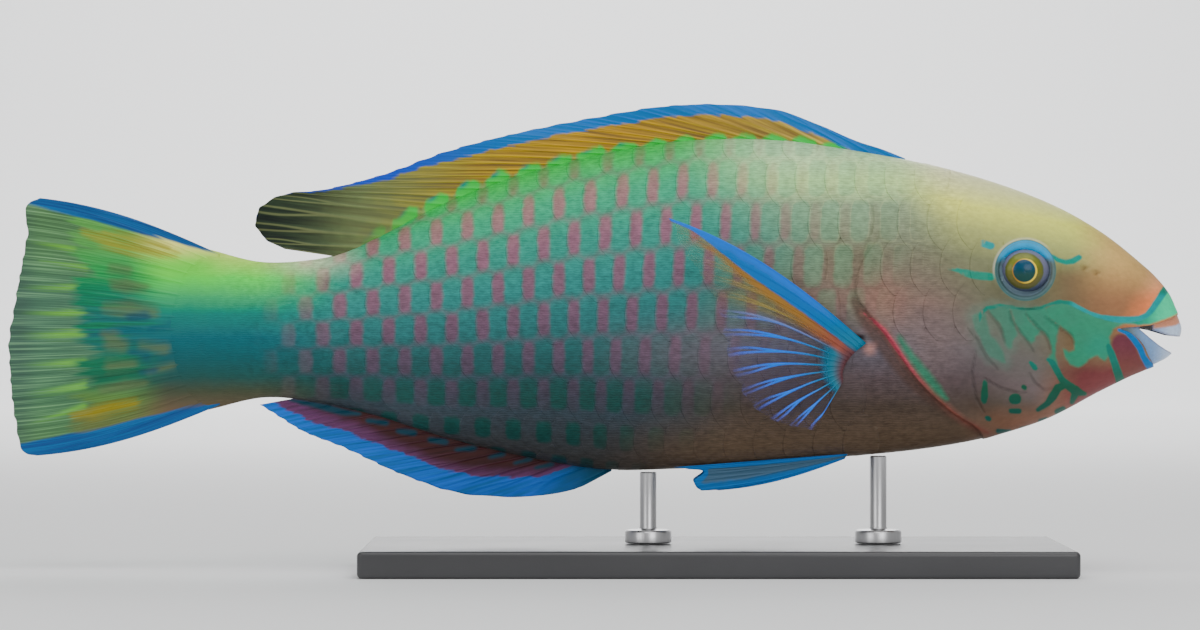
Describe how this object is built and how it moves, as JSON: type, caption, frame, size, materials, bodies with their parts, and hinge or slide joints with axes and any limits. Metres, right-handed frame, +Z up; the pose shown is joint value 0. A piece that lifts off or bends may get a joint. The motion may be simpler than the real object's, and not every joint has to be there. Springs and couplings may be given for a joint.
{
  "type": "parrotfish model",
  "caption": "Still life-size parrotfish with spread fins, a beak-like mouth and large scales, held by short rods on a plain flat display base.",
  "frame": {"origin": "centre of the bounding box in plan, on the floor under the stand", "axes": "+X towards the snout along the swimming direction, +Y to the fish's left, +Z up"},
  "size_m": [0.3522, 0.092, 0.1401],
  "materials": {
    "head_skin": "wet-looking scaled skin, olive-tan head with teal marks",
    "body_skin": "large overlapping scales, mauve bars on teal over brown",
    "tail_skin": "scaled teal and olive skin",
    "fin_membrane": "thin blue and olive membrane with raised rays",
    "beak": "smooth fused tooth plates, off-white",
    "eye": "clear polished eye with a yellow-olive iris",
    "stand_base": "plain satin black",
    "stand_rod": "brushed"
  },
  "bodies": {
    "root": {"anal_fin": "fin_membrane", "beak_lower": "beak", "beak_upper": "beak", "caudal_fin": "fin_membrane", "dorsal_fin": "fin_membrane", "eye_left": "eye", "eye_right": "eye", "head": "head_skin", "pectoral_fin_left": "fin_membrane", "pectoral_fin_right": "fin_membrane", "pelvic_fin_left": "fin_membrane", "pelvic_fin_right": "fin_membrane", "stand_base": "stand_base", "stand_rod_front": "stand_rod", "stand_rod_rear": "stand_rod", "tail_stem": "tail_skin", "trunk": "body_skin"}
  },
  "joints": []
}
